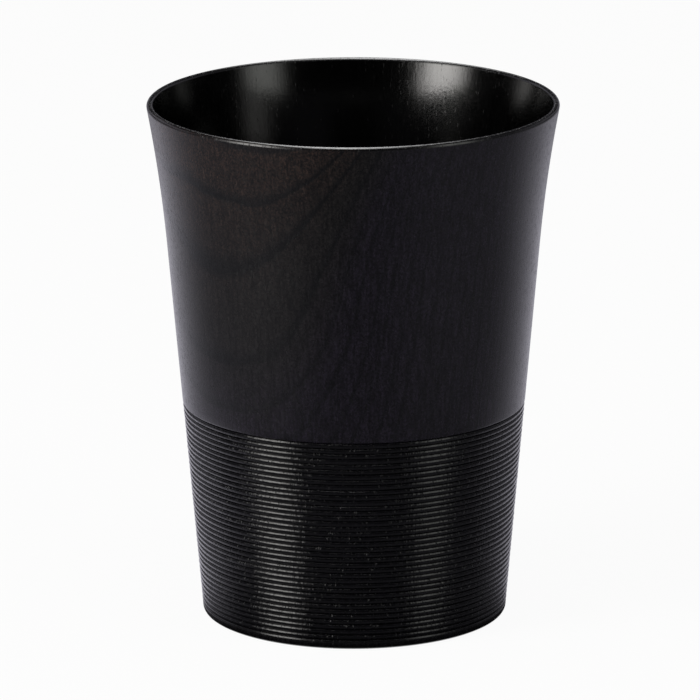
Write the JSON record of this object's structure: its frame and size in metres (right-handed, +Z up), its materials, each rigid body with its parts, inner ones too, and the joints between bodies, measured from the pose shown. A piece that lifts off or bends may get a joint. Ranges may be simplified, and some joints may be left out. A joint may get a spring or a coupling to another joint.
{
  "type": "lacquered wooden cup",
  "caption": "Tall turned wooden cup with a flared rounded lip, a fine ribbed band round the lower wall and a black lacquer finish, for drinks.",
  "frame": {"origin": "middle of the foot, on the table", "axes": "+Z up along the turning axis, from the foot to the lip"},
  "size_m": [0.082, 0.082, 0.1045],
  "materials": {
    "zelkova_wood": "turned ring-porous hardwood, sealed under the lacquer",
    "gloss_black_lacquer": "gloss black lacquer with open pores",
    "rim_lacquer": "gloss black lacquer over the rounded lip",
    "satin_black_lacquer": "satin black wiped lacquer with the grain showing through",
    "ribbed_black_lacquer": "black wiped lacquer on the turned ribs, half gloss on the crests",
    "foot_lacquer": "satin black lacquer under the foot"
  },
  "bodies": {
    "root": {"turned_wood_body": "zelkova_wood", "inner_lacquer_coat": "gloss_black_lacquer", "rim_lacquer_coat": "rim_lacquer", "outer_lacquer_coat": "satin_black_lacquer", "ribbed_lacquer_coat": "ribbed_black_lacquer", "foot_lacquer_coat": "foot_lacquer"}
  },
  "joints": []
}
